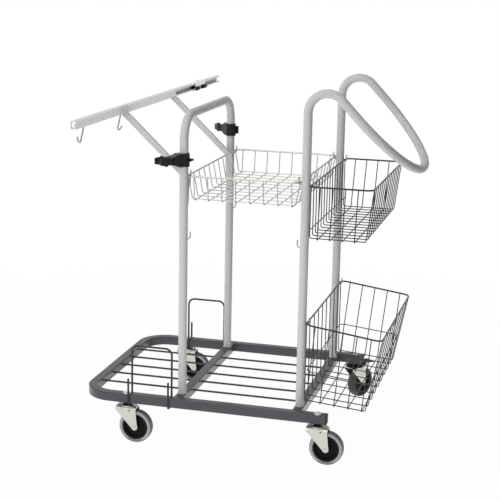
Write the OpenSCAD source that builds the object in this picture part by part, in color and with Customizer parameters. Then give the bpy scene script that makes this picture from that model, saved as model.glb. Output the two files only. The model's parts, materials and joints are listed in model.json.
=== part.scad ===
// Janitor cart: a square-tube base on four swivel casters, a tube hoop, a tube push handle,
// a lift-off wire tray, two lift-off wire baskets, a tool rail on two arms and two mop clips.
// Lengths in mm. X runs from the rounded front end to the push handle, Z is up, z = 0 is the floor.

/* [Base frame] */
// Outside width of the base across the cart
base_w = 620; // [600:5:650]
// Reach of the base in front of the hoop posts
front_reach = 302; // [296:2:330]
// Distance from the hoop posts to the handle posts
post_spacing = 360; // [340:5:380]
// Length of the rails behind the handle posts
tail_reach = 90; // [90:2:110]
// Side of the square rail tube
rail_size = 28; // [27:0.5:30]
// Wall of the square rail tube
rail_wall = 2; // [1.5:0.5:2.5]
// Outside radius of the base's two front corners
corner_r = 92; // [80:2:96]
// Diameter of the deck wires and the retainer hoops
deck_wire = 6; // [5:0.5:7]
// Height of the retainer hoops above the rails
retainer_rise = 146; // [120:2:170]
// Width of a retainer hoop between its leg centres
retainer_w = 124; // [110:2:128]

/* [Hoop and handle] */
// Outside diameter of the post tubes
post_d = 25; // [24:0.5:27]
// Wall of the post tubes
post_wall = 1.5; // [1.2:0.1:2]
// Distance between the two posts of a pair
post_gauge = 490; // [480:2:496]
// Height of the hoop's top above the floor
hoop_top = 992; // [980:2:1020]
// Centre-line radius of the hoop's bends
hoop_bend = 70; // [60:5:80]
// Height at which the handle posts start to bend
handle_bend_z = 1007; // [990:1:1030]
// Centre-line radius of the handle's top bends
handle_bend = 55; // [50:1:65]
// Turn of the handle from upright to its slope
handle_turn = 136.5; // [132:0.5:140]
// Length of the handle's slope from the bend to the grip
handle_slope = 291; // [280:1:300]
// Centre-line radius of the grip's round end
grip_bend = 235; // [200:5:235]

/* [Tray and baskets] */
// Reach of the rims of the tray and the baskets beyond the post centres
rim_overhang = 23; // [20:1:26]
// Diameter of the rim wires
rim_wire = 5; // [4.5:0.5:5.5]
// Diameter of the mesh wires
mesh_wire = 3; // [2.5:0.5:3.5]
// Height of the tray's rim above the floor
tray_z = 811; // [800:1:820]
// Depth of the tray
tray_depth = 68; // [55:1:80]
// Height of the upper basket's rim above the floor
upper_z = 803; // [795:1:812]
// Depth of the upper basket
upper_depth = 150; // [130:2:170]
// Reach of the upper basket's rim behind the handle posts
upper_reach = 195; // [180:5:210]
// Height of the lower basket's inner rim above the floor
lower_z = 403; // [395:1:420]
// Depth of the lower basket at the posts
lower_depth = 231; // [215:1:235]
// Reach of the lower basket's rim behind the handle posts
lower_reach = 237; // [225:1:250]
// Diameter of the hook wires on the posts
hook_wire = 4; // [3.5:0.5:4.5]

/* [Tool rail] */
// Length of the tool rail across the cart
tool_rail_l = 1346; // [1300:1:1400]
// Distance of the rail's middle from the cart's middle plane
tool_rail_offset = 65.5; // [50:0.5:70]
// Height of the rail's underside above the floor
tool_rail_z = 977; // [968:0.5:982]
// Height of the rail's profile
tool_rail_h = 22; // [20:1:24]
// Depth of the rail's profile
tool_rail_d = 14; // [13:0.5:18]
// Rise of the two arms above the horizontal
arm_angle = 43; // [41:0.5:45]
// Height of the arms' centre lines at the hoop posts
arm_z = 801; // [796:1:806]

/* [Mop clips] */
// Height of the near clip's middle above the floor
near_clip_z = 854; // [854:1:870]
// Height of the far clip's middle above the floor
far_clip_z = 878; // [860:1:890]
// Height of a clip at its collar
clip_h = 38; // [32:1:42]
// Turn of a clip outwards from the cart's length
clip_angle = 50; // [40:1:60]
// Radius of the mop handle that a clip grips
clip_bore_r = 11; // [10:0.5:12]

/* [Casters] */
// Diameter of the wheels
wheel_d = 100; // [98:1:104]
// Width of the tyres
wheel_w = 26; // [24:1:28]
// Diameter of the wheel hubs
hub_d = 78; // [74:1:82]
// Trail of the wheel behind the swivel axis
trail = 29; // [27:0.5:31]
// Distance of the front swivel axes ahead of the hoop posts
front_caster_x = 156; // [154:0.5:158]
// Distance of the rear swivel axes behind the handle posts
rear_caster_x = 65; // [60:1:66]
// Turn of the braked caster about its swivel axis
braked_turn = 60; // [0:5:80]

/* [Hidden] */
$fn = 64;
// Gap between wires that are welded together
weld_gap = 0.1;
// Gap between pieces that move past each other
move_gap = 0.3;
// Radial play of a running pin in its bore
pin_play = 0.05;
// Sleeves at the wires' bends: gap bridged, lap over each piece, extra diameter
joint_gap = 0.1;
joint_lap = 0.2;
joint_swell = 0.04;
eps = 0.01;
// Overshoot of a cutting solid
cut = 1;

post_r = post_d / 2;
post_y = post_gauge / 2;
rail_edge_r = 3;
rail_y = base_w / 2 - rail_size / 2;
rail_inner_y = base_w / 2 - rail_size;

wheel_r = wheel_d / 2;
fork_rise = 9.7;
fork_t = 3;
fork_top = wheel_d + fork_rise;
spacer_h = 12;
spacer_r = 11;
rail_bottom = fork_top + move_gap + spacer_h;
rail_top = rail_bottom + rail_size;
rail_z = rail_bottom + rail_size / 2;

stem_r = 6;
stem_head_r = 10;
stem_head_h = 3.5;
nut_h = 9;
nut_r = 10.4;
washer_r = 12.5;
washer_h = 1.5;
stem_end = 2;
stem_top = rail_top + washer_h + nut_h + stem_end;

leg_y = wheel_w / 2 + 2.5;
fork_w = 2 * (leg_y + fork_t);
fork_edge_r = 5;
fork_front = 31;
fork_back = 33;
fork_boss_r = 9.5;
// Heights of the fork's edges in front and behind, and the lap of a leg on its round end
fork_front_h = 8;
fork_back_h = 14;
boss_lap = 0.6;
// Place and radius of the small hole in each fork leg
fork_hole_x = 13;
fork_hole_drop = 8.7;
fork_hole_r = 2.4;
axle_r = 4;
axle_head_r = 6;
axle_head_h = 2.5;
hub_boss_r = 13;
hub_rim_t = 7;
hub_web_t = 10;
tyre_edge_r = 5;

pedal_pin_r = 2.5;
pedal_pin_x = 40;
pedal_pin_z = fork_top + 1;
pedal_ear_r = 6;
pedal_boss_r = 5.5;
pedal_t = 4;
pedal_w = 2 * leg_y - 2 * move_gap;
pedal_flat = 32;
pedal_curl_r = 14;
pedal_curl_end = 30;
pedal_pin_end = 1.5;
ear_lap = 4;

caster_y = rail_y;
CASTERS = [
  [-front_caster_x, -caster_y, 0],
  [-front_caster_x, caster_y, 0],
  [post_spacing + rear_caster_x, -caster_y, 0],
  [post_spacing + rear_caster_x, caster_y, braked_turn]
];

deck_n = 5;
deck_pitch = 83.3;
deck_lift = 7.3;
deck_z = rail_bottom + rail_wall + deck_wire / 2 + deck_lift;
retainer_back = 10;
retainer_front = retainer_back - front_caster_x;
retainer_prong = 50;
cap_t = 3;
cap_plug_l = 16;
retainer_bend = 20;

cross_l = 2 * rail_inner_y;

rim_r = rim_wire / 2;
rim_half = post_y + rim_overhang;
rim_corner = 20;
mesh_bend = 5;
hook_r = hook_wire / 2;
hook_slack = 0.5;
// Distance of a hung rim wire from the post's centre line
hang = post_r + hook_slack + rim_r;
hook_bend = 2 * hook_slack + rim_wire + hook_r;
hook_prong = 14;
// Height of a hung rim wire above the hook's root
hook_lift = hook_bend - 1;
spare_hook_z = 622;

side_inset = 10;
end_inset = 12.5;
mesh_margin = 18;
mesh_half = rim_half - mesh_margin;
tray_x0 = hang;
tray_x1 = post_spacing - hang;
tray_floor = tray_z - tray_depth;
tray_cross_margin = 8.5;
tray_long_n = 11;
tray_cross_n = 8;

upper_x0 = post_spacing + hang;
upper_x1 = post_spacing + upper_reach;
upper_floor = upper_z - upper_depth;
upper_inset = 18;
upper_long_n = 14;
upper_cross_n = 4;
// Distances of the first and last cross wires from the basket's floor corners, and their lean
upper_cross_first = 23;
upper_cross_last = 31.5;
upper_lean = 8;
upper_stay_rise = 27;

lower_x0 = post_spacing + hang;
lower_x1 = post_spacing + lower_reach;
lower_rim_drop = 30;
lower_floor_drop = 15.5;
lower_floor_inset = 42.5;
lower_floor_z = lower_z - lower_depth;
lower_long_n = 8;
lower_mesh_margin = 60;
lower_mesh_half = rim_half - lower_mesh_margin;
lower_cross_n = 5;
lower_cross_first = 6;
lower_cross_last = 10;
lower_lean = 22.5;
lower_ring_rise = 89;
lower_ring_fall = 5;
lower_ring_slack = 0.5;
stay_end = 3;

arm_overhang = 1;
tool_rail_x = -(tool_rail_z - arm_z) / tan(arm_angle) - arm_overhang;
tool_rail_y0 = tool_rail_offset - tool_rail_l / 2;
tool_rail_y1 = tool_rail_offset + tool_rail_l / 2;
flange_t = 2.5;
web_t = 2.5;
lip_t = 2;
lip_h = 2;
arm_w = 17;
arm_d = 10;
arm_wall = 1.5;
foot_t = 4;
foot_h = 86;
foot_rise = 6;
foot_taper = 3;
foot_top = arm_z + foot_rise;
arm_y = post_y - post_r - foot_t;
cover_t = 1.5;
cover_short = 14;
cover_end = post_y - cover_short;
slider_l = 110;
slider_t = 2;
slider_gap = 0.5;
slider_inset = 245;
slider_y = tool_rail_y1 - slider_inset;
pad_l = 32;
pad_pitch = 77;
pad_h = 13;
pad_d = 8;

tool_hook_r = 2;
tool_hook_head_r = 3.2;
tool_hook_head_h = 2;
tool_hook_x = tool_rail_x + tool_rail_d / 2 - lip_t - move_gap - tool_hook_head_r;
tool_hook_neck = 4;
tool_hook_lean = 13;
tool_hook_lean_r = 10;
tool_hook_shank = 36;
tool_hook_bend = 3.5;
tool_hook_turn = 155;
tool_hook_tip = 13;
// Place along the rail and turn of each tool hook's tip
TOOL_HOOKS = [[-540, 0], [-260, 180]];

collar_t = 4;
clip_mouth_x = 54;
clip_reach = 88;
clip_jaw_t = 5;
clip_tip_h = 17;
clip_neck_extra = 2;
clip_neck_l = 12;
clip_lip_t = 5;
clip_lip_flare = 2;
clip_lip_x = 2;
clip_lip_lap = 0.8;
clip_throat = 0.72;
clip_screw_r = 3;
clip_knob_r = 5;
clip_knob_l = 5;
clip_wing_l = 24;
clip_wing_t = 5;
clip_wing_h = 9;
// Side, height and turn of the wing screw of each clip
CLIPS = [[-1, near_clip_z, 0], [1, far_clip_z, 90]];

handle_x1 = post_spacing + handle_bend * (1 - cos(handle_turn)) + handle_slope * sin(handle_turn);
cart_x = (front_reach - handle_x1 - post_r) / 2;
cart_y = -tool_rail_offset;

frame_grey = "#c9c9c9";
base_grey = "#55555a";
wire_dark = "#3a3a3d";
zinc = "#d4d4d0";
plastic_black = "#1e1e20";
tyre_grey = "#98989c";

base_rail();
mid_cross_tube();
rear_cross_tube();
deck_wires();
rail_end_caps();
retainer_near();
retainer_far();
front_hoop();
push_handle();
post_hooks();
arm_near();
arm_far();
tool_rail();
tool_rail_cover();
tool_slider();
slider_pads();
tool_hook_a();
tool_hook_b();
mop_clip_near();
mop_clip_far();
clip_screws();
tray_rim();
tray_long_wires_near();
tray_long_wires_far();
tray_cross_wires();
upper_rim();
upper_long_wires_near();
upper_long_wires_far();
upper_cross_wires();
upper_stay();
lower_rim();
lower_long_wires();
lower_cross_wires();
lower_ring();
caster_spacers();
caster_stems();
stem_washers();
stem_nuts();
fork_near_front();
axle_near_front();
hub_near_front();
tyre_near_front();
fork_far_front();
axle_far_front();
hub_far_front();
tyre_far_front();
fork_near_rear();
axle_near_rear();
hub_near_rear();
tyre_near_rear();
fork_far_rear();
axle_far_rear();
hub_far_rear();
tyre_far_rear();
brake_pedal();
pedal_pin();

// Moves the cart so that the origin lies on the floor below the middle of its outline
module place() {
  translate([cart_x, cart_y, 0]) children();
}

// A round rod along a path. A step is [run, radius, angle, roll]:
// roll about the path, run straight, then bend towards the path's own +X.
// Where a bend is not a right angle a hair-thin sleeve joins it to its runs.
module rod(steps, d, i = 0) {
  run = steps[i][0];
  radius = steps[i][1];
  angle = steps[i][2];
  start = i > 0 && steps[i - 1][2] != 90 ? joint_gap : 0;
  stop = angle > 0 && angle != 90 ? run - joint_gap : run;
  rotate([0, 0, steps[i][3]]) {
    if (run > 0) translate([0, 0, start]) cylinder(d = d, h = stop - start);
    if (start > 0) translate([0, 0, -joint_lap]) sleeve(d);
    if (stop < run) translate([0, 0, stop - joint_lap]) sleeve(d);
    if (angle > 0) translate([radius, 0, run]) {
      rotate([90, 0, 180]) rotate_extrude(angle = angle) translate([radius, 0]) circle(d = d);
      rotate([0, angle, 0]) translate([-radius, 0, 0]) rod(steps, d, i + 1);
    }
  }
}

module sleeve(d) {
  cylinder(d = d + joint_swell, h = joint_gap + 2 * joint_lap);
}

// A round tube along a path that starts and ends in straight runs
module tube(steps, d, wall) {
  last = len(steps) - 1;
  longer = [
    for (i = [0 : last])
      [steps[i][0] + (i == 0 || i == last ? cut : 0), steps[i][1], steps[i][2], steps[i][3]]
  ];
  difference() {
    rod(steps, d);
    translate([0, 0, -cut]) rod(longer, d - 2 * wall);
  }
}

// Heading of a line in the XZ plane, from +Z towards +X
function heading(a, b) = atan2(b[0] - a[0], b[1] - a[1]);
function turn(p, i) = (heading(p[i], p[i + 1]) - heading(p[i - 1], p[i]) + 720) % 360;
function trim(p, i, r) = i == 0 || i == len(p) - 1 ? 0 : r * tan(turn(p, i) / 2);
function steps(p, r) = [
  for (i = [0 : len(p) - 2])
    [norm(p[i + 1] - p[i]) - trim(p, i, r) - trim(p, i + 1, r), r, i < len(p) - 2 ? turn(p, i + 1) : 0, 0]
];
// A point moved towards another by a distance
function towards(a, b, d) = a + (b - a) * d / norm(b - a);
// The point at which a line from p touches a circle on its right
function touch(p, c, r) =
  let (a = atan2(c[1] - p[1], c[0] - p[0]) - asin(r / norm(c - p)))
  c + r * [sin(a), -cos(a)];

// A wire in the XZ plane through points listed clockwise
module wire(points, bend, d) {
  translate([points[0][0], 0, points[0][1]])
    rotate([0, heading(points[0], points[1]), 0])
      rod(steps(points, bend), d);
}

// A closed wire loop in the XY plane
module loop(x0, x1, half, corner, d) {
  mid = (x0 + x1) / 2;
  rotate([90, 0, 0])
    wire([[mid, half], [x1, half], [x1, -half], [x0, -half], [x0, half], [mid, half]], corner, d);
}

module rounded_square(size, r) {
  square([size, size - 2 * r], center = true);
  square([size - 2 * r, size], center = true);
  for (x = [-1, 1], y = [-1, 1]) translate([x, y] * (size / 2 - r)) circle(r);
}

module rail_section() {
  difference() {
    rounded_square(rail_size, rail_edge_r);
    square(rail_size - 2 * rail_wall, center = true);
  }
}

// Extrudes a profile drawn in X and Z along Y, centred on y = 0
module across(l) {
  translate([0, l / 2, 0]) rotate([90, 0, 0]) linear_extrude(l) children();
}

module both_sides() {
  children();
  mirror([0, 1, 0]) children();
}

module at_caster(i) {
  translate([CASTERS[i][0], CASTERS[i][1], 0]) rotate([0, 0, CASTERS[i][2]]) children();
}

module base_rail() {
  bend = corner_r - rail_size / 2;
  rear = post_spacing + tail_reach;
  corner_x = corner_r - front_reach;
  front_l = base_w - 2 * corner_r;
  color(base_grey) place() difference() {
    translate([0, 0, rail_z]) {
      both_sides() {
        translate([corner_x, -rail_y, 0]) rotate([0, 90, 0]) linear_extrude(rear - corner_x) rail_section();
        translate([corner_x, -front_l / 2, 0]) rotate([0, 0, 180]) rotate_extrude(angle = 90)
          translate([bend, 0]) rail_section();
      }
      translate([rail_size / 2 - front_reach, front_l / 2, 0]) rotate([90, 0, 0])
        linear_extrude(front_l) rail_section();
    }
    for (c = CASTERS) translate([c[0], c[1], rail_bottom - cut])
      cylinder(r = stem_r + weld_gap, h = rail_size + 2 * cut);
  }
}

module cross_tube() {
  translate([0, rail_inner_y, rail_z]) rotate([90, 0, 0]) linear_extrude(cross_l) rail_section();
}

function deck_y(i) = (i - (deck_n - 1) / 2) * deck_pitch;

module mid_cross_tube() {
  color(base_grey) place() difference() {
    cross_tube();
    for (i = [0 : deck_n - 1])
      translate([-rail_size, deck_y(i), deck_z]) rotate([0, 90, 0])
        cylinder(d = deck_wire + 2 * weld_gap, h = 2 * rail_size);
  }
}

module rear_cross_tube() {
  color(base_grey) place() translate([post_spacing, 0, 0]) cross_tube();
}

module deck_wires() {
  x0 = -front_reach + rail_size;
  x1 = post_spacing - rail_size / 2;
  color(wire_dark) place() for (i = [0 : deck_n - 1])
    translate([x0, deck_y(i), deck_z]) rotate([0, 90, 0]) cylinder(d = deck_wire, h = x1 - x0);
}

module rail_end_caps() {
  plug = rail_size - 2 * rail_wall - 2 * weld_gap;
  color(plastic_black) place() both_sides()
    translate([post_spacing + tail_reach, -rail_y, rail_z]) rotate([0, 90, 0]) {
      linear_extrude(cap_t) rounded_square(rail_size, rail_edge_r);
      translate([0, 0, -cap_plug_l]) linear_extrude(cap_plug_l + eps) square(plug, center = true);
    }
}

module retainer() {
  wire_r = deck_wire / 2;
  wrap = rail_edge_r + weld_gap + wire_r;
  outer_y = base_w / 2 + weld_gap + wire_r;
  under = rail_size - 2 * rail_edge_r;
  wrap_z = rail_bottom + rail_edge_r;
  prong = rail_top + retainer_prong - wrap_z;
  leg = rail_top + retainer_rise - wire_r - retainer_bend - wrap_z;
  top = retainer_w - 2 * retainer_bend;
  translate([retainer_front, -outer_y, wrap_z + prong]) rotate([180, 0, 90])
    rod([
      [prong, wrap, 90, 0], [under, wrap, 90, 0],
      [leg, retainer_bend, 90, 90], [top, retainer_bend, 90, 0],
      [leg, wrap, 90, -90], [under, wrap, 90, 0], [prong, 0, 0, 0]
    ], deck_wire);
}

module retainer_near() {
  color(wire_dark) place() retainer();
}

module retainer_far() {
  color(wire_dark) place() mirror([0, 1, 0]) retainer();
}

module front_hoop() {
  run = hoop_top - post_r - hoop_bend - rail_top;
  color(frame_grey) place() translate([0, -post_y, rail_top]) rotate([0, 0, 90])
    tube([[run, hoop_bend, 90, 0], [post_gauge - 2 * hoop_bend, hoop_bend, 90, 0], [run, 0, 0, 0]],
      post_d, post_wall);
}

module push_handle() {
  run = handle_bend_z - rail_top;
  slope = handle_slope - grip_bend;
  color(frame_grey) place() translate([post_spacing, -post_y, rail_top])
    tube([
      [run, handle_bend, handle_turn, 0], [slope, grip_bend, 90, 90],
      [post_gauge - 2 * grip_bend, grip_bend, 90, 0], [slope, handle_bend, handle_turn, -90], [run, 0, 0, 0]
    ], post_d, post_wall);
}

// A hook that stands on a post at height z and points along +X
module hook(z) {
  translate([post_r, 0, z]) rotate([0, 90, 0])
    rod([[0, hook_bend, 90, 180], [hook_prong, 0, 0, 0]], hook_wire);
}

module post_hooks() {
  color(zinc) place() both_sides() translate([0, -post_y, 0]) {
    for (z = [tray_z - hook_lift, spare_hook_z]) {
      hook(z);
      translate([post_spacing, 0, 0]) rotate([0, 0, 180]) hook(z);
    }
    translate([post_spacing, 0, 0]) for (z = [upper_z, lower_z]) hook(z - hook_lift);
  }
}

module arm() {
  foot_low = foot_top - foot_h;
  translate([0, -arm_y, 0]) {
    intersection() {
      translate([0, arm_d / 2, arm_z]) rotate([0, arm_angle - 90, 0])
        linear_extrude(2 * tool_rail_z, center = true) difference() {
          square([arm_w, arm_d], center = true);
          square([arm_w - 2 * arm_wall, arm_d - 2 * arm_wall], center = true);
        }
      translate([-tool_rail_z, 0, 0]) cube([tool_rail_z + post_r, arm_d, tool_rail_z]);
    }
    translate([0, -foot_t, 0]) rotate([90, 0, 0]) mirror([0, 0, 1]) linear_extrude(foot_t + eps)
      polygon([
        [post_r, foot_top], [-post_r, foot_top],
        [foot_taper - post_r, foot_low], [post_r - foot_taper, foot_low]
      ]);
  }
}

module arm_near() {
  color(frame_grey) place() arm();
}

module arm_far() {
  color(frame_grey) place() mirror([0, 1, 0]) arm();
}

// Profile of the tool rail, a lipped channel open towards the hoop
module tool_rail_section() {
  half = tool_rail_d / 2;
  for (y = [0, tool_rail_h - flange_t]) translate([-half, y]) square([tool_rail_d, flange_t]);
  translate([-half, 0]) square([web_t, tool_rail_h]);
  for (y = [0, tool_rail_h - flange_t - lip_h]) translate([half - lip_t, y])
    square([lip_t, flange_t + lip_h]);
}

module tool_rail() {
  color(frame_grey) place() difference() {
    translate([tool_rail_x, tool_rail_offset, tool_rail_z]) across(tool_rail_l) tool_rail_section();
    for (h = TOOL_HOOKS) translate([tool_hook_x, h[0], tool_rail_z - cut])
      cylinder(r = tool_hook_r + pin_play, h = flange_t + 2 * cut);
  }
}

module tool_rail_cover() {
  l = cover_end - tool_rail_y0;
  color(frame_grey) place()
    translate([tool_rail_x + tool_rail_d / 2, tool_rail_y0, tool_rail_z]) cube([cover_t, l, tool_rail_h]);
}

module tool_slider() {
  half = tool_rail_d / 2 + slider_gap;
  outer = half + slider_t;
  color(zinc) place() translate([tool_rail_x, slider_y, tool_rail_z]) across(slider_l) difference() {
    translate([-outer, -slider_gap - slider_t])
      square([2 * outer, tool_rail_h + 2 * (slider_gap + slider_t)]);
    translate([-half, -slider_gap]) square([2 * half, tool_rail_h + 2 * slider_gap]);
    translate([-outer - cut, lip_h]) square([outer, tool_rail_h - 2 * lip_h]);
  }
}

module slider_pads() {
  x = tool_rail_x + tool_rail_d / 2 + slider_gap + slider_t + weld_gap;
  flat = pad_d - pad_h / 2;
  color(plastic_black) place() for (s = [-1, 1])
    translate([x, slider_y + s * pad_pitch / 2, tool_rail_z - slider_gap - slider_t]) {
      translate([0, -pad_l / 2, 0]) cube([flat, pad_l, pad_h]);
      intersection() {
        translate([flat, 0, pad_h / 2]) rotate([90, 0, 0]) cylinder(d = pad_h, h = pad_l, center = true);
        translate([0, -pad_l / 2, 0]) cube([pad_d, pad_l, pad_h]);
      }
    }
}

module tool_hook(i) {
  stub = flange_t + move_gap + tool_hook_neck;
  place() translate([tool_hook_x, TOOL_HOOKS[i][0], tool_rail_z + flange_t + move_gap]) {
    cylinder(r = tool_hook_head_r, h = tool_hook_head_h);
    rotate([0, 180, 0])
      rod([
        [stub, tool_hook_lean_r, tool_hook_lean, 0],
        [tool_hook_shank, tool_hook_bend, tool_hook_turn, TOOL_HOOKS[i][1]],
        [tool_hook_tip, 0, 0, 0]
      ], 2 * tool_hook_r);
  }
}

module tool_hook_a() {
  color(zinc) tool_hook(0);
}

module tool_hook_b() {
  color(zinc) tool_hook(1);
}

// A clip along +X before it is tapered: collar, neck, round jaws and flared lips
module clip_blank() {
  mouth_r = clip_bore_r + clip_jaw_t;
  throat = clip_throat * clip_bore_r;
  tip_out = mouth_r + clip_lip_flare;
  tip_in = tip_out - clip_lip_t;
  neck_w = post_d + clip_neck_extra;
  lip_x = clip_mouth_x + clip_lip_x;
  difference() {
    union() {
      cylinder(r = post_r + collar_t, h = clip_h, center = true);
      translate([0, -neck_w / 2, -clip_h / 2]) cube([clip_mouth_x - clip_bore_r, neck_w, clip_h]);
      translate([clip_mouth_x, 0, 0]) cylinder(r = mouth_r, h = clip_h, center = true);
      for (s = [-1, 1]) linear_extrude(clip_h, center = true)
        polygon([
          [lip_x, s * (clip_bore_r + clip_lip_lap)], [lip_x, s * (mouth_r - clip_lip_lap)],
          [clip_reach, s * tip_out], [clip_reach, s * tip_in]
        ]);
    }
    cylinder(r = post_r + weld_gap, h = clip_h + 2 * cut, center = true);
    translate([clip_mouth_x, 0, 0]) cylinder(r = clip_bore_r, h = clip_h + 2 * cut, center = true);
    linear_extrude(clip_h + 2 * cut, center = true)
      polygon([
        [clip_mouth_x, 0], [clip_mouth_x + throat, -throat], [clip_reach + cut, -tip_in],
        [clip_reach + cut, tip_in], [clip_mouth_x + throat, throat]
      ]);
  }
}

module mop_clip(z) {
  low = clip_h / 2;
  tip = clip_tip_h / 2;
  back = post_r + collar_t + cut;
  front = post_r + clip_neck_l;
  translate([0, -post_y, z]) difference() {
    rotate([0, 0, 180 + clip_angle]) intersection() {
      clip_blank();
      across(4 * clip_bore_r + post_d)
        polygon([
          [-back, -low - cut], [front, -low - cut], [clip_reach + cut, -tip],
          [clip_reach + cut, tip], [front, low + cut], [-back, low + cut]
        ]);
    }
    rotate([0, 90, 0]) cylinder(r = clip_screw_r + weld_gap, h = 2 * back);
  }
}

module mop_clip_near() {
  color(plastic_black) place() mop_clip(near_clip_z);
}

module mop_clip_far() {
  color(plastic_black) place() mirror([0, 1, 0]) mop_clip(far_clip_z);
}

module clip_screws() {
  collar = post_r + collar_t;
  color(plastic_black) place() for (c = CLIPS)
    translate([0, c[0] * post_y, c[1]]) rotate([0, 90, 0]) rotate([0, 0, c[2]]) {
      translate([0, 0, post_r]) cylinder(r = clip_screw_r, h = collar_t + clip_knob_l / 2);
      translate([0, 0, collar]) cylinder(r = clip_knob_r, h = clip_knob_l);
      translate([-clip_wing_t / 2, -clip_wing_l / 2, collar]) cube([clip_wing_t, clip_wing_l, clip_wing_h]);
    }
}

// A mesh wire along the cart's length, hung from the two rim wires
module long_wire(y, outer_rim, outer_floor, inner_floor, inner_rim) {
  reach = rim_r + weld_gap;
  start = towards(outer_rim, outer_floor, reach);
  stop = towards(inner_rim, inner_floor, reach);
  translate([0, y, 0]) wire([start, outer_floor, inner_floor, stop], mesh_bend, mesh_wire);
}

// A mesh wire across the cart with its floor at x below the long wires, leaning back to the rim
module cross_wire(x, rim_z, floor_z, lean) {
  low = floor_z - mesh_wire - weld_gap;
  tilt = atan(lean / (rim_z - low));
  floor_end = [rim_half - side_inset, 0];
  start = towards([rim_half, (rim_z - low) / cos(tilt)], floor_end, rim_r + weld_gap);
  translate([x, 0, low]) rotate([0, tilt, 0]) rotate([0, 0, 90])
    wire([start, floor_end, [-floor_end[0], 0], [-start[0], start[1]]], mesh_bend, mesh_wire);
}

function spread(i, n, half) = (2 * i / (n - 1) - 1) * half;

module tray_rim() {
  color(zinc) place() translate([0, 0, tray_z]) loop(tray_x0, tray_x1, rim_half, rim_corner, rim_wire);
}

// The lengthwise wires from number a to number b
module tray_long_wires(a, b) {
  color(zinc) place() for (i = [a : b])
    long_wire(spread(i, tray_long_n, mesh_half), [tray_x1, tray_z], [tray_x1 - end_inset, tray_floor],
      [tray_x0 + end_inset, tray_floor], [tray_x0, tray_z]);
}

module tray_long_wires_near() {
  tray_long_wires(0, ceil(tray_long_n / 2) - 1);
}

module tray_long_wires_far() {
  tray_long_wires(ceil(tray_long_n / 2), tray_long_n - 1);
}

module tray_cross_wires() {
  half = (tray_x1 - tray_x0) / 2 - end_inset - tray_cross_margin;
  color(zinc) place() for (i = [0 : tray_cross_n - 1])
    cross_wire((tray_x0 + tray_x1) / 2 + spread(i, tray_cross_n, half), tray_z, tray_floor, 0);
}

module upper_rim() {
  color(wire_dark) place() translate([0, 0, upper_z])
    loop(upper_x0, upper_x1, rim_half, rim_corner, rim_wire);
}

// The lengthwise wires from number a to number b
module upper_long_wires(a, b) {
  color(wire_dark) place() for (i = [a : b])
    long_wire(spread(i, upper_long_n, mesh_half), [upper_x1, upper_z],
      [upper_x1 - upper_inset, upper_floor], [upper_x0, upper_floor], [upper_x0, upper_z]);
}

module upper_long_wires_near() {
  upper_long_wires(0, upper_long_n / 2 - 1);
}

module upper_long_wires_far() {
  upper_long_wires(upper_long_n / 2, upper_long_n - 1);
}

module upper_cross_wires() {
  first = upper_x0 + upper_cross_first;
  last = upper_x1 - upper_inset - upper_cross_last;
  color(wire_dark) place() for (i = [0 : upper_cross_n - 1])
    cross_wire(first + i * (last - first) / (upper_cross_n - 1), upper_z, upper_floor, upper_lean);
}

module upper_stay() {
  color(wire_dark) place()
    translate([upper_x0 + mesh_wire + weld_gap, 0, upper_floor + upper_stay_rise]) rotate([90, 0, 0])
      cylinder(d = mesh_wire, h = 2 * (mesh_half + stay_end), center = true);
}

lower_outer_rim = [lower_x1, lower_z - lower_rim_drop];
lower_outer_floor = [lower_x1 - lower_floor_inset, lower_floor_z - lower_floor_drop];
lower_inner_floor = [lower_x0, lower_floor_z];
lower_inner_rim = [lower_x0, lower_z];
lower_rim_slope = atan(lower_rim_drop / (lower_x1 - lower_x0));

module lower_rim() {
  l = (lower_x1 - lower_x0) / cos(lower_rim_slope);
  color(wire_dark) place() translate([lower_x0, 0, lower_z]) rotate([0, lower_rim_slope, 0])
    loop(0, l, rim_half, rim_corner, rim_wire);
}

module lower_long_wires() {
  color(wire_dark) place() for (i = [0 : lower_long_n - 1])
    long_wire(spread(i, lower_long_n, lower_mesh_half), lower_outer_rim, lower_outer_floor,
      lower_inner_floor, lower_inner_rim);
}

module lower_cross_wires() {
  first = lower_x0 + lower_cross_first;
  last = lower_outer_floor[0] - lower_cross_last;
  floor_fall = lower_floor_drop / (lower_outer_floor[0] - lower_x0);
  color(wire_dark) place() for (i = [0 : lower_cross_n - 1]) {
    x = first + i * (last - first) / (lower_cross_n - 1);
    back = x - lower_x0;
    rim_z = lower_z - (back + lower_lean) * tan(lower_rim_slope);
    cross_wire(x, rim_z, lower_floor_z - back * floor_fall, lower_lean);
  }
}

module lower_ring() {
  step = mesh_wire + weld_gap;
  wall = lower_outer_rim - lower_outer_floor;
  z0 = lower_floor_z + lower_ring_rise;
  rise = lower_ring_rise - lower_ring_fall;
  z1 = lower_outer_floor[1] + rise;
  x1 = lower_outer_floor[0] + wall[0] * rise / wall[1] - step / cos(atan(wall[0] / wall[1]));
  x0 = lower_x0 + step;
  slope = atan((z0 - z1) / (x1 - x0));
  half = rim_half - side_inset + side_inset * rise / lower_depth - step - lower_ring_slack;
  color(wire_dark) place() translate([x0, 0, z0]) rotate([0, slope, 0])
    loop(0, (x1 - x0) / cos(slope), half, rim_corner, mesh_wire);
}

module caster_spacers() {
  groove = deck_wire + 4 * weld_gap;
  color(plastic_black) place() for (i = [0 : len(CASTERS) - 1])
    translate([CASTERS[i][0], CASTERS[i][1], rail_bottom - spacer_h]) difference() {
      cylinder(r = spacer_r, h = spacer_h);
      translate([0, 0, -cut]) cylinder(r = stem_r + weld_gap, h = spacer_h + 2 * cut);
      if (i < 2)
        translate([retainer_front + front_caster_x - groove / 2, -spacer_r - cut, spacer_h - groove])
          cube([groove, 2 * (spacer_r + cut), groove + cut]);
    }
}

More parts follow.
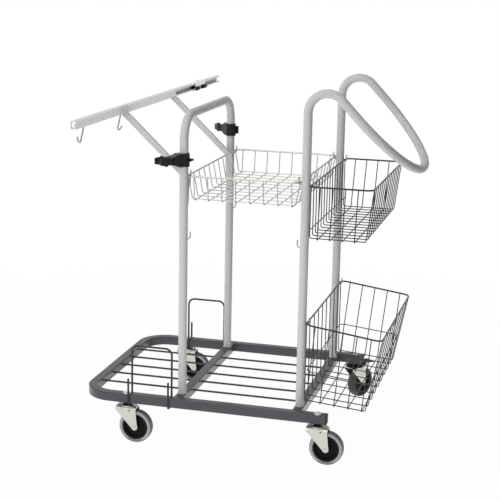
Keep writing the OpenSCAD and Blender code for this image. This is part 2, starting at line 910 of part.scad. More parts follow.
module caster_stems() {
  head_top = fork_top - fork_t - move_gap;
  color(zinc) place() for (c = CASTERS) translate([c[0], c[1], 0]) {
    translate([0, 0, head_top - stem_head_h]) cylinder(r = stem_head_r, h = stem_head_h);
    translate([0, 0, head_top - eps]) cylinder(r = stem_r, h = stem_top - head_top + eps);
  }
}

module stem_washers() {
  color(zinc) place() for (c = CASTERS) translate([c[0], c[1], rail_top]) difference() {
    cylinder(r = washer_r, h = washer_h);
    translate([0, 0, -cut]) cylinder(r = stem_r + weld_gap, h = washer_h + 2 * cut);
  }
}

module stem_nuts() {
  color(zinc) place() for (c = CASTERS) translate([c[0], c[1], rail_top + washer_h]) difference() {
    cylinder(r = nut_r, h = nut_h, $fn = 6);
    translate([0, 0, -cut]) cylinder(r = stem_r + weld_gap, h = nut_h + 2 * cut);
  }
}

// The fork's bent channel, drawn in Y and Z
module fork_channel() {
  inner = fork_edge_r - fork_t;
  difference() {
    fork_arch(fork_w / 2, fork_top, fork_edge_r);
    fork_arch(leg_y, fork_top - fork_t, inner);
  }
}

module fork_arch(half, top, r) {
  translate([-half, 0]) square([2 * half, top - r]);
  translate([-half + r, 0]) square([2 * (half - r), top]);
  for (s = [-1, 1]) translate([s * (half - r), top - r]) circle(r);
}

// Outline of a fork leg in X and Z, without its round end at the axle
module fork_leg() {
  shoulder = [-fork_front, fork_top - fork_front_h];
  lap_r = fork_boss_r - boss_lap;
  axle = [trail, wheel_r];
  polygon([
    shoulder, [-fork_front, fork_top + cut], [fork_back, fork_top + cut],
    [fork_back, fork_top - fork_back_h],
    [trail + lap_r, wheel_r], axle, touch(shoulder, axle, lap_r)
  ]);
}

module fork(ears) {
  l = 2 * (fork_back + trail);
  ear_low = fork_top - fork_back_h;
  ear_back = fork_back - 2 * ear_lap;
  difference() {
    union() {
      intersection() {
        rotate([90, 0, 90]) linear_extrude(l, center = true) fork_channel();
        union() {
          across(2 * fork_w) fork_leg();
          translate([trail, 0, wheel_r]) rotate([90, 0, 0])
            cylinder(r = fork_boss_r, h = 2 * fork_w, center = true);
        }
      }
      if (ears) for (s = [-1, 1]) translate([0, s * (leg_y + fork_t / 2), 0]) {
        translate([ear_back, -fork_t / 2, ear_low])
          cube([pedal_pin_x + pedal_ear_r - ear_back, fork_t, pedal_pin_z - ear_low]);
        translate([pedal_pin_x, 0, pedal_pin_z]) rotate([90, 0, 0])
          cylinder(r = pedal_ear_r, h = fork_t, center = true);
      }
    }
    translate([0, 0, fork_top - fork_t - cut]) cylinder(r = stem_r + pin_play, h = fork_t + 2 * cut);
    translate([trail, 0, wheel_r]) rotate([90, 0, 0])
      cylinder(r = axle_r + pin_play, h = 2 * fork_w, center = true);
    translate([fork_hole_x, 0, fork_top - fork_hole_drop]) rotate([90, 0, 0])
      cylinder(r = fork_hole_r, h = 2 * fork_w, center = true);
    if (ears) translate([pedal_pin_x, 0, pedal_pin_z]) rotate([90, 0, 0])
      cylinder(r = pedal_pin_r + pin_play, h = 2 * fork_w, center = true);
  }
}

module axle() {
  translate([trail, 0, wheel_r]) rotate([90, 0, 0]) {
    cylinder(r = axle_r, h = fork_w + axle_head_h, center = true);
    for (s = [0, 180]) rotate([s, 0, 0]) translate([0, 0, fork_w / 2])
      cylinder(r = axle_head_r, h = axle_head_h, $fn = 6);
  }
}

module hub() {
  rim_w2 = wheel_w / 2 - 1;
  boss = leg_y - move_gap;
  hub_r = hub_d / 2;
  bore = axle_r + pin_play;
  translate([trail, 0, wheel_r]) rotate([90, 0, 0]) rotate_extrude() {
    translate([bore, -boss]) square([hub_boss_r - bore, 2 * boss]);
    translate([hub_boss_r - eps, -hub_web_t / 2]) square([hub_r - hub_boss_r, hub_web_t]);
    translate([hub_r - hub_rim_t, -rim_w2]) square([hub_rim_t, 2 * rim_w2]);
  }
}

module tyre() {
  hub_r = hub_d / 2;
  half = wheel_w / 2;
  translate([trail, 0, wheel_r]) rotate([90, 0, 0]) rotate_extrude() {
    translate([hub_r, -half]) square([wheel_r - tyre_edge_r - hub_r, wheel_w]);
    translate([hub_r, -half + tyre_edge_r]) square([wheel_r - hub_r, wheel_w - 2 * tyre_edge_r]);
    for (s = [-1, 1]) translate([wheel_r - tyre_edge_r, s * (half - tyre_edge_r)]) circle(tyre_edge_r);
  }
}

module fork_near_front() {
  color(zinc) place() at_caster(0) fork(false);
}

module axle_near_front() {
  color(zinc) place() at_caster(0) axle();
}

module hub_near_front() {
  color(plastic_black) place() at_caster(0) hub();
}

module tyre_near_front() {
  color(tyre_grey) place() at_caster(0) tyre();
}

module fork_far_front() {
  color(zinc) place() at_caster(1) fork(false);
}

module axle_far_front() {
  color(zinc) place() at_caster(1) axle();
}

module hub_far_front() {
  color(plastic_black) place() at_caster(1) hub();
}

module tyre_far_front() {
  color(tyre_grey) place() at_caster(1) tyre();
}

module fork_near_rear() {
  color(zinc) place() at_caster(2) fork(false);
}

module axle_near_rear() {
  color(zinc) place() at_caster(2) axle();
}

module hub_near_rear() {
  color(plastic_black) place() at_caster(2) hub();
}

module tyre_near_rear() {
  color(tyre_grey) place() at_caster(2) tyre();
}

module fork_far_rear() {
  color(zinc) place() at_caster(3) fork(true);
}

module axle_far_rear() {
  color(zinc) place() at_caster(3) axle();
}

module hub_far_rear() {
  color(plastic_black) place() at_caster(3) hub();
}

module tyre_far_rear() {
  color(tyre_grey) place() at_caster(3) tyre();
}

module brake_pedal() {
  color(plastic_black) place() at_caster(3) translate([pedal_pin_x, 0, pedal_pin_z])
    across(pedal_w) difference() {
    union() {
      circle(pedal_boss_r);
      translate([0, pedal_boss_r - pedal_t]) square([pedal_flat, pedal_t]);
      translate([pedal_flat, pedal_boss_r - pedal_curl_r]) intersection() {
        difference() {
          circle(pedal_curl_r);
          circle(pedal_curl_r - pedal_t);
        }
        rotate(pedal_curl_end) square(2 * pedal_curl_r);
      }
    }
    circle(pedal_pin_r + pin_play);
  }
}

module pedal_pin() {
  color(zinc) place() at_caster(3) translate([pedal_pin_x, 0, pedal_pin_z]) rotate([90, 0, 0])
    cylinder(r = pedal_pin_r, h = fork_w + 2 * pedal_pin_end, center = true);
}
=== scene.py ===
"""Janitor cart: camera, finishes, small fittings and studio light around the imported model."""
import json
import math

import bpy
from mathutils import Matrix, Vector


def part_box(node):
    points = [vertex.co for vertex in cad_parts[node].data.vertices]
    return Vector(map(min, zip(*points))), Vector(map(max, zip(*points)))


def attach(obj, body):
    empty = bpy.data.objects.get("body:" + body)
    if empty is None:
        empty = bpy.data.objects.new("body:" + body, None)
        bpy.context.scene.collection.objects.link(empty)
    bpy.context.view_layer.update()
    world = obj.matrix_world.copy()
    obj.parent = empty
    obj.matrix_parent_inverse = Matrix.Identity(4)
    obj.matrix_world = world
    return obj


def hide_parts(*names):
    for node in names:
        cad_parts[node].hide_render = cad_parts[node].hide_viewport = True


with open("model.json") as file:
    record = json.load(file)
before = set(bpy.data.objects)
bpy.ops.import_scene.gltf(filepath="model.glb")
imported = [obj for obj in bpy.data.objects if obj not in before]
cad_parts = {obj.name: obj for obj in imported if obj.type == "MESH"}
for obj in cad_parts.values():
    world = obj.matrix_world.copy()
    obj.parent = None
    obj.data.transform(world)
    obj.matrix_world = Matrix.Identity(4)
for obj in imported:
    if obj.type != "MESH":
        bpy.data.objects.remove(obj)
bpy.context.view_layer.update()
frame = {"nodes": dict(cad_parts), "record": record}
nodes = frame["nodes"]
CASTERS = ("near_front", "far_front", "near_rear", "far_rear")
BRAKED = "far_rear"
MM = 0.001

scene = bpy.context.scene
scene.view_settings.view_transform = "Standard"

# the photograph's camera: where it stands and how it is turned
EYE = Vector((0.947470, -3.846244, 1.456393))
AZIMUTH = math.radians(14.730219)
PITCH = math.radians(13.129414)
ROLL = math.radians(1.143645)
LENS_MM = 94.1

camera = bpy.data.objects.new("photo_camera", bpy.data.cameras.new("photo_camera"))
scene.collection.objects.link(camera)
scene.camera = camera
camera.data.sensor_width = 36.0
camera.data.lens = LENS_MM
camera.data.clip_start = 0.1
camera.data.clip_end = 100.0
ahead = math.cos(PITCH)
forward = Vector((-math.sin(AZIMUTH) * ahead, math.cos(AZIMUTH) * ahead, -math.sin(PITCH)))
level = Vector((math.cos(AZIMUTH), math.sin(AZIMUTH), 0))
above = level.cross(forward)
right = level * math.cos(ROLL) + above * math.sin(ROLL)
up = above * math.cos(ROLL) - level * math.sin(ROLL)
turn = Matrix((right, up, -forward)).transposed().to_4x4()
camera.matrix_world = Matrix.Translation(EYE) @ turn


# finishes
def srgb(code):
    """An sRGB hex colour as linear RGBA."""
    parts = [int(code[i : i + 2], 16) / 255 for i in (1, 3, 5)]
    linear = [p / 12.92 if p <= 0.04045 else ((p + 0.055) / 1.055) ** 2.4 for p in parts]
    return (*linear, 1.0)


def add(material, kind, inputs=None, **settings):
    """Adds a node with its settings. An input is a value, or a (node, output) pair to link."""
    tree = material.node_tree
    node = tree.nodes.new(kind)
    for name, value in settings.items():
        setattr(node, name, value)
    for key, value in (inputs or {}).items():
        if isinstance(value, tuple) and isinstance(value[0], bpy.types.Node):
            tree.links.new(value[0].outputs[value[1]], node.inputs[key])
        else:
            node.inputs[key].default_value = value
    return node


def blank(name):
    """A new material with an empty node tree."""
    material = bpy.data.materials.new(name)
    material.use_nodes = True
    material.node_tree.nodes.clear()
    return material


def close(material, shader):
    """Links a shader to the material's output."""
    add(material, "ShaderNodeOutputMaterial", {"Surface": (shader, 0)})
    return material


def clouds(material, size):
    """A soft noise in Object coordinates whose patches are about this many metres wide."""
    place = add(material, "ShaderNodeTexCoord")
    noise = {"Vector": (place, "Object"), "Scale": 1 / size, "Detail": 4.0}
    return add(material, "ShaderNodeTexNoise", noise)


# how far a finish's roughness drifts either way, and how deep its grain is
SMOOTHER = 0.05
ROUGHER = 0.06
GRAIN_DEPTH = 0.3 * MM


def surface(name, dark, light, rough, patch, grain, depth, **numbers):
    """A finish with a slow drift of colour and gloss over patches, and a fine grain in relief."""
    material = blank(name)
    drift = clouds(material, patch)
    colours = {0: (drift, 0), 6: srgb(dark), 7: srgb(light)}
    tone = add(material, "ShaderNodeMix", colours, data_type="RGBA")
    gloss = {0: (drift, 0), 1: 0.3, 2: 0.7, 3: rough - SMOOTHER, 4: rough + ROUGHER}
    sheen = add(material, "ShaderNodeMapRange", gloss)
    relief = {"Height": (clouds(material, grain), 0), "Strength": depth, "Distance": GRAIN_DEPTH}
    bump = add(material, "ShaderNodeBump", relief)
    shader = add(material, "ShaderNodeBsdfPrincipled", {
        "Base Color": (tone, 2), "Roughness": (sheen, 0), "Normal": (bump, 0),
    })
    for socket, value in numbers.items():
        shader.inputs[socket].default_value = value
    return close(material, shader)


def powder_coat(name, dark, light, rough, shine):
    """Baked powder coat on steel: an even colour with a satin sheen and faint orange peel."""
    # the real peel is about 0.5 mm, drawn at 1.5 mm so that it shows
    gloss = {"Specular IOR Level": shine}
    return surface(name, dark, light, rough, 70 * MM, 1.5 * MM, 0.08, **gloss)


def zinc_plate(name, dark, light, rough):
    """Bright zinc plating: a pale metal with a faint cloudy bloom and a slightly uneven gloss."""
    return surface(name, dark, light, rough, 12 * MM, 1.2 * MM, 0.06, Metallic=1.0)


def moulded(name, dark, light, rough, shine):
    """Moulded plastic or rubber: dull, slightly mottled, with the fine grain of the mould."""
    gloss = {"Specular IOR Level": shine}
    return surface(name, dark, light, rough, 15 * MM, 1.5 * MM, 0.15, **gloss)


# light grey powder coat on the round tubes: pale, with a soft broad highlight
frame_grey = powder_coat("light_grey_powder_coat", "#c6c6c6", "#cecece", 0.42, 0.2)
# anthracite powder coat on the square base tube: dark, with a thin sheen on the top faces
base_grey = powder_coat("anthracite_powder_coat", "#47464b", "#515055", 0.30, 0.18)
# black powder coat on mesh wire: nearly black with a thin line of light
wire_black = powder_coat("black_powder_coat_wire", "#1d1d1f", "#29292b", 0.38, 0.3)
# clear anodised aluminium extrusion: a soft silver
aluminium = zinc_plate("clear_anodised_aluminium", "#b4b4b6", "#c4c4c6", 0.30)
# the inside of the channel: a darker and duller aluminium than the outside
dull_aluminium = zinc_plate("darker_channel_aluminium", "#a2a2a4", "#b0b0b2", 0.50)
# extruded PVC strip: smooth and white, so it mirrors the pale room at a flat angle
cover_white = surface("white_pvc_strip", "#f2f2f0", "#f8f8f6", 0.16, 40 * MM, 3 * MM, 0.02, **{
    "Specular IOR Level": 0.8, "Coat Weight": 1.0, "Coat Roughness": 0.06,
})
# zinc plate on nuts, washers and the grip: the brightest metal on the cart
zinc = zinc_plate("bright_zinc_plate", "#c8c8c4", "#dededa", 0.26)
# zinc plated drawn wire: greyer and duller than the plated plate, and more so on the tool hooks
wire_zinc = zinc_plate("drawn_zinc_wire", "#93938f", "#a9a9a5", 0.36)
hook_zinc = zinc_plate("dull_zinc_hook_wire", "#7b7b78", "#90908d", 0.38)
# pressed steel with warm passivated zinc: a creamy pale sheet
fork_zinc = zinc_plate("warm_zinc_plate_pressed_steel", "#a09f97", "#b2b1a9", 0.36)
# black nylon and polypropylene: almost no light comes back from them
black_nylon = moulded("black_nylon_moulding", "#0c0c0e", "#151517", 0.50, 0.08)
black_hub = moulded("black_polypropylene_hub", "#0c0b0d", "#131215", 0.45, 0.08)
# grained nylon of the clips: a deeper grain that catches small points of light
grained_nylon = surface("grained_black_nylon", "#0e0e10", "#19191b", 0.28, 8 * MM, 4 * MM, 0.9, **{
    "Specular IOR Level": 0.2,
})
# thermoplastic rubber: the sides bloom pale, the tread is scuffed darker
tyre_side = moulded("grey_thermoplastic_rubber", "#9b9b9f", "#a9a9ad", 0.66, 0.3)
tyre_tread = moulded("scuffed_grey_rubber_tread", "#68686b", "#767679", 0.74, 0.3)
tyre_dark = moulded("dark_thermoplastic_rubber", "#454546", "#515153", 0.66, 0.3)
dark_tread = moulded("scuffed_dark_rubber_tread", "#3a3a3b", "#464647", 0.74, 0.3)

FINISHES = {
    frame_grey: "front_hoop push_handle arm_near arm_far",
    aluminium: "tool_rail",
    cover_white: "tool_rail_cover",
    base_grey: "base_rail mid_cross_tube rear_cross_tube",
    wire_black: "deck_wires retainer_near retainer_far upper_rim upper_long_wires_near"
    " upper_long_wires_far upper_cross_wires upper_stay lower_rim lower_long_wires"
    " lower_cross_wires lower_ring",
    zinc: "tool_slider caster_stems stem_washers stem_nuts pedal_pin",
    wire_zinc: "tray_rim tray_long_wires_near tray_long_wires_far tray_cross_wires post_hooks",
    hook_zinc: "tool_hook_a tool_hook_b",
    fork_zinc: " ".join(f"fork_{c} axle_{c}" for c in CASTERS),
    black_nylon: "rail_end_caps slider_pads clip_screws caster_spacers brake_pedal",
    grained_nylon: "mop_clip_near mop_clip_far",
    black_hub: " ".join(f"hub_{c}" for c in CASTERS),
    tyre_side: "tyre_near_front tyre_far_front tyre_near_rear",
    tyre_dark: "tyre_far_rear",
}
for finish, names in FINISHES.items():
    for name in names.split():
        nodes[name].data.materials.clear()
        nodes[name].data.materials.append(finish)

# the faces of the tool rail that lie within its box are the inside of its channel
SKIN = 0.3 * MM
rail_low, rail_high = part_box("tool_rail")
rail_mesh = nodes["tool_rail"].data
rail_mesh.materials.append(dull_aluminium)
for face in rail_mesh.polygons:
    reach = zip(rail_low, face.center, rail_high)
    within = all(low + SKIN < at < high - SKIN for low, at, high in reach)
    face.material_index = int(within)


# fittings
# points this near to each other are one point
SAME = 0.01 * MM
# every added piece is smooth where its faces meet at less than this angle
SMOOTH = math.radians(35)


def middle(node):
    """The centre of a node's box."""
    low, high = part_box(node)
    return (low + high) / 2


def pick(piece):
    """Makes a piece the active and only selected object."""
    bpy.ops.object.select_all(action="DESELECT")
    bpy.context.view_layer.objects.active = piece
    piece.select_set(True)


def turned(profile, sides):
    """A piece turned about the Z axis: profile holds (radius, height) steps in millimetres."""
    radius, height = profile[0]
    start = (0, 0, height * MM)
    bpy.ops.mesh.primitive_circle_add(vertices=sides, radius=radius * MM, location=start)
    bpy.ops.object.transform_apply(location=True, rotation=True, scale=True)
    bpy.ops.object.mode_set(mode="EDIT")
    bpy.ops.mesh.select_all(action="SELECT")
    for (r0, h0), (r1, h1) in zip(profile, profile[1:]):
        bpy.ops.mesh.extrude_edges_move(TRANSFORM_OT_translate={"value": (0, 0, (h1 - h0) * MM)})
        bpy.ops.transform.resize(value=(r1 / r0, r1 / r0, 1), center_override=(0, 0, h1 * MM))
    bpy.ops.mesh.select_all(action="SELECT")
    bpy.ops.mesh.remove_doubles(threshold=SAME)
    bpy.ops.mesh.fill_holes(sides=0)
    bpy.ops.mesh.normals_make_consistent(inside=False)
    bpy.ops.object.mode_set(mode="OBJECT")
    return bpy.context.object


def settle(piece, name, body, slot, *finishes):
    """Gives a finished piece its name, body and finishes, with its place in its mesh. The slot is
    not used.
    """
    pick(piece)
    bpy.ops.object.transform_apply(location=True, rotation=True, scale=True)
    bpy.ops.object.shade_smooth_by_angle(angle=SMOOTH)
    piece.name = name
    piece.data.name = name
    piece.data.materials.clear()
    for finish in finishes:
        piece.data.materials.append(finish)
    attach(piece, body)


def copied(pattern, place):
    """A copy of a pattern, with its own mesh, at a place given as a matrix."""
    piece = pattern.copy()
    piece.data = pattern.data.copy()
    scene.collection.objects.link(piece)
    piece.matrix_world = place
    return piece


def joined(pieces):
    """Several copies as one mesh."""
    bpy.ops.object.select_all(action="DESELECT")
    for piece in pieces:
        piece.select_set(True)
    bpy.context.view_layer.objects.active = pieces[0]
    bpy.ops.object.join()
    return bpy.context.object


# the points of a node lie closer together, so they are joined at a smaller distance
NODE_SAME = 0.001 * MM


def merged_copy(node):
    """A node's mesh as a new object with its triangles joined."""
    piece = bpy.data.objects.new(node, nodes[node].data.copy())
    scene.collection.objects.link(piece)
    pick(piece)
    bpy.ops.object.mode_set(mode="EDIT")
    bpy.ops.mesh.select_all(action="SELECT")
    bpy.ops.mesh.remove_doubles(threshold=NODE_SAME)
    bpy.ops.mesh.select_all(action="DESELECT")
    bpy.ops.object.mode_set(mode="OBJECT")
    return piece


def shape_with(piece, tool, operation):
    """Cuts a tool out of a piece, or fuses it on."""
    step = piece.modifiers.new("shape", "BOOLEAN")
    step.operation = operation
    step.object = tool
    pick(piece)
    bpy.ops.object.modifier_apply(modifier=step.name)
    bpy.data.objects.remove(tool)


def mirrored(profile):
    """A half profile and its mirror image below, closed to a ring."""
    return profile + [(r, -h) for r, h in reversed(profile)] + profile[:1]


joints = {j["name"]: j for j in frame["record"]["behaviour"]["joints"]}
swivels = {c: Vector(joints[f"swivel_{c}"]["pos_m"]) for c in CASTERS}
wheels = {c: Vector(joints[f"spin_{c}"]["pos_m"]) for c in CASTERS}


def axle_way(c):
    """The direction of a wheel's axle."""
    return Vector(joints[f"spin_{c}"]["axis"])


def wheel_place(c):
    """Turns a piece's Z axis to the wheel's axle and moves it to the wheel's centre."""
    turn_to_axle = axle_way(c).to_track_quat("Z", "Y").to_matrix().to_4x4()
    return Matrix.Translation(wheels[c]) @ turn_to_axle


# a tyre's face belongs to its tread where it faces less than this share along the axle
TREAD_TURN = 0.75

# wheels: a hub with a bead on its web and a tyre with a groove on each side
HUB = mirrored([
    (4.1, 15.2), (11.8, 15.2), (12.8, 14.4), (13.6, 6.6), (14.8, 5.6), (21.8, 5.3), (22.4, 6.5),
    (24.4, 6.5), (25.0, 5.3), (30.8, 5.2), (31.6, 6.0), (32.3, 11.4), (33.0, 12.0), (38.3, 12.0),
    (39.0, 11.3),
])
TYRE = mirrored([
    (39.0, 12.3), (39.7, 13.0), (41.4, 13.0), (41.8, 12.6), (42.6, 12.6), (43.0, 13.0),
    (45.6, 13.0), (47.4, 12.5), (48.7, 11.3), (49.5, 9.6), (49.9, 7.4), (50.0, 5.0),
])
# the axle: a riveted pin with a centre mark in each low head
AXLE = [
    (0.9, 18.9), (1.5, 19.6), (3.6, 20.0), (5.2, 19.6), (5.8, 18.6), (4.0, 18.5),
    (4.0, -18.5), (5.8, -18.6), (5.2, -19.6), (3.6, -20.0), (1.5, -19.6), (0.9, -18.9),
]
hub_pattern = turned(HUB, 72)
tyre_pattern = turned(TYRE, 96)
axle_pattern = turned(AXLE, 32)
for c in CASTERS:
    hub = copied(hub_pattern, wheel_place(c))
    settle(hub, f"moulded_hub_{c}", f"wheel_{c}", "black_plastic", black_hub)
    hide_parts(f"hub_{c}")
    tyre = copied(tyre_pattern, wheel_place(c))
    if c == BRAKED:
        settle(tyre, f"rubber_tyre_{c}", f"wheel_{c}", "tyre_dark", tyre_dark, dark_tread)
    else:
        settle(tyre, f"rubber_tyre_{c}", f"wheel_{c}", "tyre_grey", tyre_side, tyre_tread)
    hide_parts(f"tyre_{c}")
    for face in tyre.data.polygons:
        face.material_index = int(abs(face.normal.dot(axle_way(c))) < TREAD_TURN)
    pin = copied(axle_pattern, wheel_place(c))
    settle(pin, f"riveted_axle_{c}", f"caster_{c}", "zinc", fork_zinc)
    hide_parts(f"axle_{c}")

# swivel heads: the race in each fork's crown, which is a black ring on the braked caster
fork_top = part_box("fork_near_front")[1].z / MM
RACE = [
    (12.0, 0.1), (29.0, 0.1), (30.0, 0.8), (30.0, 2.6), (29.0, 3.4), (24.8, 3.6), (24.0, 2.9),
    (22.8, 2.9), (22.2, 3.8), (21.6, 4.8), (20.6, 5.3), (13.0, 5.3), (12.0, 4.6), (12.0, 0.1),
]
race_pattern = turned([(r, h + fork_top) for r, h in RACE], 64)
stem_spots = {c: Matrix.Translation((swivels[c].x, swivels[c].y, 0)) for c in CASTERS}
for c in CASTERS:
    race = copied(race_pattern, stem_spots[c])
    if c == BRAKED:
        settle(race, f"brake_ring_{c}", f"caster_{c}", "black_plastic", black_nylon)
    else:
        settle(race, f"swivel_race_{c}", f"caster_{c}", "zinc", fork_zinc)

# stems and their low lock nuts, nearly flush with the base tube
washer_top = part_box("stem_washers")[1].z / MM
stem_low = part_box("caster_stems")[0].z / MM
STEM_HEAD = 3.5
NUT = 2.2
stem_pattern = turned([
    (8.8, stem_low), (10.0, stem_low + 0.8), (10.0, stem_low + STEM_HEAD),
    (6.0, stem_low + STEM_HEAD), (6.0, washer_top + NUT - 0.4), (5.2, washer_top + NUT + 0.2),
], 32)
nut_pattern = turned([
    (6.1, washer_top), (9.4, washer_top), (10.4, washer_top + 0.4), (10.4, washer_top + 1.4),
    (9.2, washer_top + 1.9), (7.0, washer_top + NUT), (6.1, washer_top + NUT - 0.3),
    (6.1, washer_top),
], 6)
stems = joined([copied(stem_pattern, stem_spots[c]) for c in CASTERS])
settle(stems, "headed_stems", "frame", "zinc", zinc)
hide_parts("caster_stems")
nuts = joined([copied(nut_pattern, stem_spots[c]) for c in CASTERS])
settle(nuts, "low_lock_nuts", "frame", "zinc", zinc)
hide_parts("stem_nuts")

# a weld bead round the foot of each post
hoop_low, hoop_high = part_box("front_hoop")
handle_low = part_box("push_handle")[0]
POST_R = 12.5 * MM
post_feet = [
    Vector((x + POST_R, y, hoop_low.z))
    for x in (hoop_low.x, handle_low.x) for y in (hoop_low.y + POST_R, hoop_high.y - POST_R)
]
RIPPLES = 36
RIPPLE_DEPTH = 0.35 * MM
BEAD_R = 1.6 * MM
BEAD_SIDES = 10
BEAD_STAND = 0.4 * MM
bpy.ops.mesh.primitive_torus_add(
    major_radius=POST_R + BEAD_STAND, minor_radius=BEAD_R,
    major_segments=2 * RIPPLES, minor_segments=BEAD_SIDES,
)
bead_pattern = bpy.context.object
for i, vertex in enumerate(bead_pattern.data.vertices):
    vertex.select = (i // BEAD_SIDES) % 2 == 0
bpy.ops.object.mode_set(mode="EDIT")
bpy.ops.mesh.select_mode(type="VERT")
bpy.ops.transform.shrink_fatten(value=-RIPPLE_DEPTH)
bpy.ops.object.mode_set(mode="OBJECT")
beads = joined([copied(bead_pattern, Matrix.Translation(foot)) for foot in post_feet])
settle(beads, "post_foot_welds", "frame", "frame_paint", frame_grey)

# a pale plug in the near end of the tool rail
PLUG = Vector((8.6, 9.0, 16.4)) * MM
PLUG_SET_BACK = 1 * MM
PLUG_SHIFT = 0.2 * MM
PLUG_EDGE = 0.8 * MM
plug_at = middle("tool_rail") + Vector((PLUG_SHIFT, 0, 0))
plug_at.y = rail_low.y + PLUG_SET_BACK + PLUG.y / 2
bpy.ops.mesh.primitive_cube_add(size=1, location=plug_at, scale=PLUG)
bpy.ops.object.transform_apply(location=True, rotation=True, scale=True)
bpy.ops.object.mode_set(mode="EDIT")
bpy.ops.mesh.select_all(action="SELECT")
bpy.ops.mesh.bevel(offset=PLUG_EDGE, segments=3)
bpy.ops.object.mode_set(mode="OBJECT")
settle(bpy.context.object, "rail_end_plug", "frame", "frame_paint", cover_white)

# the lower basket's floor has a lengthwise wire along its near and far edges too
EDGE_STEP = 45.5 * MM
WIRE_BAND = 5 * MM
edge_low, edge_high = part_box("lower_long_wires")
edge_middle = (edge_low.y + edge_high.y) / 2
edges = merged_copy("lower_long_wires")
for vertex in edges.data.vertices:
    vertex.select = edge_low.y + WIRE_BAND < vertex.co.y < edge_high.y - WIRE_BAND
bpy.ops.object.mode_set(mode="EDIT")
bpy.ops.mesh.delete(type="VERT")
for side in (-1, 1):
    bpy.ops.mesh.select_all(action="DESELECT")
    bpy.ops.object.mode_set(mode="OBJECT")
    for vertex in edges.data.vertices:
        vertex.select = side * (vertex.co.y - edge_middle) > 0
    bpy.ops.object.mode_set(mode="EDIT")
    bpy.ops.transform.translate(value=(0, side * EDGE_STEP, 0))
bpy.ops.object.mode_set(mode="OBJECT")
settle(edges, "lower_edge_wires", "lower_basket", "dark_wire", wire_black)

# mop clips: drawn in to a waist, with a rolled boss at the end of each jaw
CLIP_TURN = math.radians(50)
WAIST_AT = 57 * MM
WAIST_HALF = 10.3 * MM
WAIST_R = 70 * MM
WAIST_CUT = 120 * MM
BOSS_AT = 67 * MM
BOSS_SIDE = 13 * MM
BOSS = [
    (2.4, -14.0), (4.2, -13.4), (5.0, -12.0), (5.5, -5.0),
    (5.5, 5.0), (5.0, 12.0), (4.2, 13.4), (2.4, 14.0),
]
boss_pattern = turned(BOSS, 32)
for node, side, foot in (("mop_clip_near", -1, post_feet[0]), ("mop_clip_far", 1, post_feet[1])):
    clip = merged_copy(node)
    out = Vector((-math.cos(CLIP_TURN), side * math.sin(CLIP_TURN), 0))
    across = Vector((-out.y, out.x, 0))
    centre = Vector((foot.x, foot.y, middle(node).z))
    for rise in (-1, 1):
        spot = centre + out * WAIST_AT + Vector((0, 0, rise * (WAIST_HALF + WAIST_R)))
        bpy.ops.mesh.primitive_cylinder_add(
            vertices=96, radius=WAIST_R, depth=WAIST_CUT, location=spot
        )
        cutter = bpy.context.object
        cutter.rotation_euler = across.to_track_quat("Z", "Y").to_euler()
        bpy.context.view_layer.update()
        shape_with(clip, cutter, "DIFFERENCE")
    for wing in (-1, 1):
        place = centre + out * BOSS_AT + across * wing * BOSS_SIDE
        boss = copied(boss_pattern, Matrix.Translation(place))
        bpy.context.view_layer.update()
        shape_with(clip, boss, "UNION")
    name = node.replace("mop_clip", "waisted_clip")
    settle(clip, name, "frame", "black_plastic", grained_nylon)
    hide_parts(node)

patterns = (
    hub_pattern, tyre_pattern, axle_pattern, race_pattern,
    stem_pattern, nut_pattern, bead_pattern, boss_pattern,
)
for pattern in patterns:
    bpy.data.objects.remove(pattern)


# floor and light
def seen_directly(material):
    """1 for rays of the camera, of mirrors and of clear things, which see the plain backdrop."""
    path = add(material, "ShaderNodeLightPath")
    rays = {0: (path, "Is Camera Ray"), 1: (path, "Is Glossy Ray")}
    seen = add(material, "ShaderNodeMath", rays, operation="MAXIMUM")
    rays = {0: (seen, 0), 1: (path, "Is Transmission Ray")}
    return add(material, "ShaderNodeMath", rays, operation="MAXIMUM")


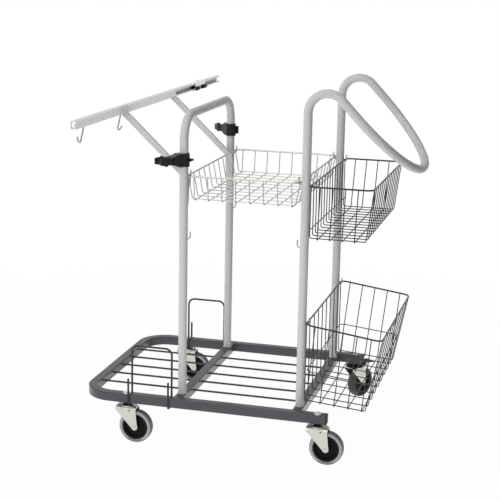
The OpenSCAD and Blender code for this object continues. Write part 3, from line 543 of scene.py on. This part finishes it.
# a sheet of matt white studio paper: the shadow shows near the cart and fades into the backdrop
PAPER_R = 20.0
FADE_FROM = 0.4
FADE_TO = 2.2
NEAR_WHITE = 0.97
bpy.ops.mesh.primitive_circle_add(vertices=96, radius=PAPER_R, fill_type="NGON", location=(0, 0, 0))
floor = bpy.context.object
floor.name = "floor"
floor_paper = blank("white_studio_paper")
point = add(floor_paper, "ShaderNodeTexCoord")
distance = add(floor_paper, "ShaderNodeVectorMath", {0: (point, "Object")}, operation="LENGTH")
fade = {0: (distance, "Value"), 1: FADE_FROM, 2: FADE_TO, 3: NEAR_WHITE, 4: 1.0}
whiteness = add(floor_paper, "ShaderNodeMapRange", fade)
share = {0: (seen_directly(floor_paper), 0), 1: (whiteness, 0)}
shown = add(floor_paper, "ShaderNodeMath", share, operation="MULTIPLY")
white = add(floor_paper, "ShaderNodeEmission", {"Color": (1, 1, 1, 1), "Strength": 1.0})
paper = add(floor_paper, "ShaderNodeBsdfDiffuse", {"Color": srgb("#f2f2f2")})
sheet = add(floor_paper, "ShaderNodeMixShader", {0: (shown, 0), 1: (paper, 0), 2: (white, 0)})
close(floor_paper, sheet)
floor.data.materials.append(floor_paper)

# the room: brighter on the left of the cart than on its right
ROOM_LEFT = 0.34
ROOM_RIGHT = 0.06
ROOM_TURN = 0.8
world = bpy.data.worlds.new("studio")
scene.world = world
world.use_nodes = True
world.node_tree.nodes.clear()
way = add(world, "ShaderNodeTexCoord")
parts = add(world, "ShaderNodeSeparateXYZ", {0: (way, "Generated")})
room = {0: (parts, "X"), 1: -ROOM_TURN, 2: ROOM_TURN, 3: ROOM_LEFT, 4: ROOM_RIGHT}
glow = add(world, "ShaderNodeMapRange", room)
dome = add(world, "ShaderNodeBackground", {"Color": (1, 1, 1, 1), "Strength": (glow, 0)})
backdrop = add(world, "ShaderNodeBackground", {"Color": (1, 1, 1, 1), "Strength": 1.0})
views = {0: (seen_directly(world), 0), 1: (dome, 0), 2: (backdrop, 0)}
sky = add(world, "ShaderNodeMixShader", views)
add(world, "ShaderNodeOutputWorld", {"Surface": (sky, 0)})


def softbox(name, place, aim, size, power):
    """A square lamp of a size in metres and a power in watts, turned to a point."""
    lamp = bpy.data.lights.new(name, "AREA")
    lamp.shape = "SQUARE"
    lamp.size = size
    lamp.energy = power
    holder = bpy.data.objects.new(name, lamp)
    scene.collection.objects.link(holder)
    holder.location = place
    holder.rotation_euler = (Vector(aim) - Vector(place)).to_track_quat("-Z", "Y").to_euler()
    return holder


softbox("key_softbox", (-0.6, -3.9, 1.8), (0, 0, 0.5), 2.0, 54)
softbox("top_softbox", (-0.6, -0.8, 3.6), (0, 0, 0.4), 2.4, 40)
# a lamp at floor level that adds to the light the white paper throws back up
bounce = softbox("floor_bounce", (-1.0, -0.7, 0.01), (-1.0, -0.7, 1), 3.6, 28)
bounce.visible_camera = False
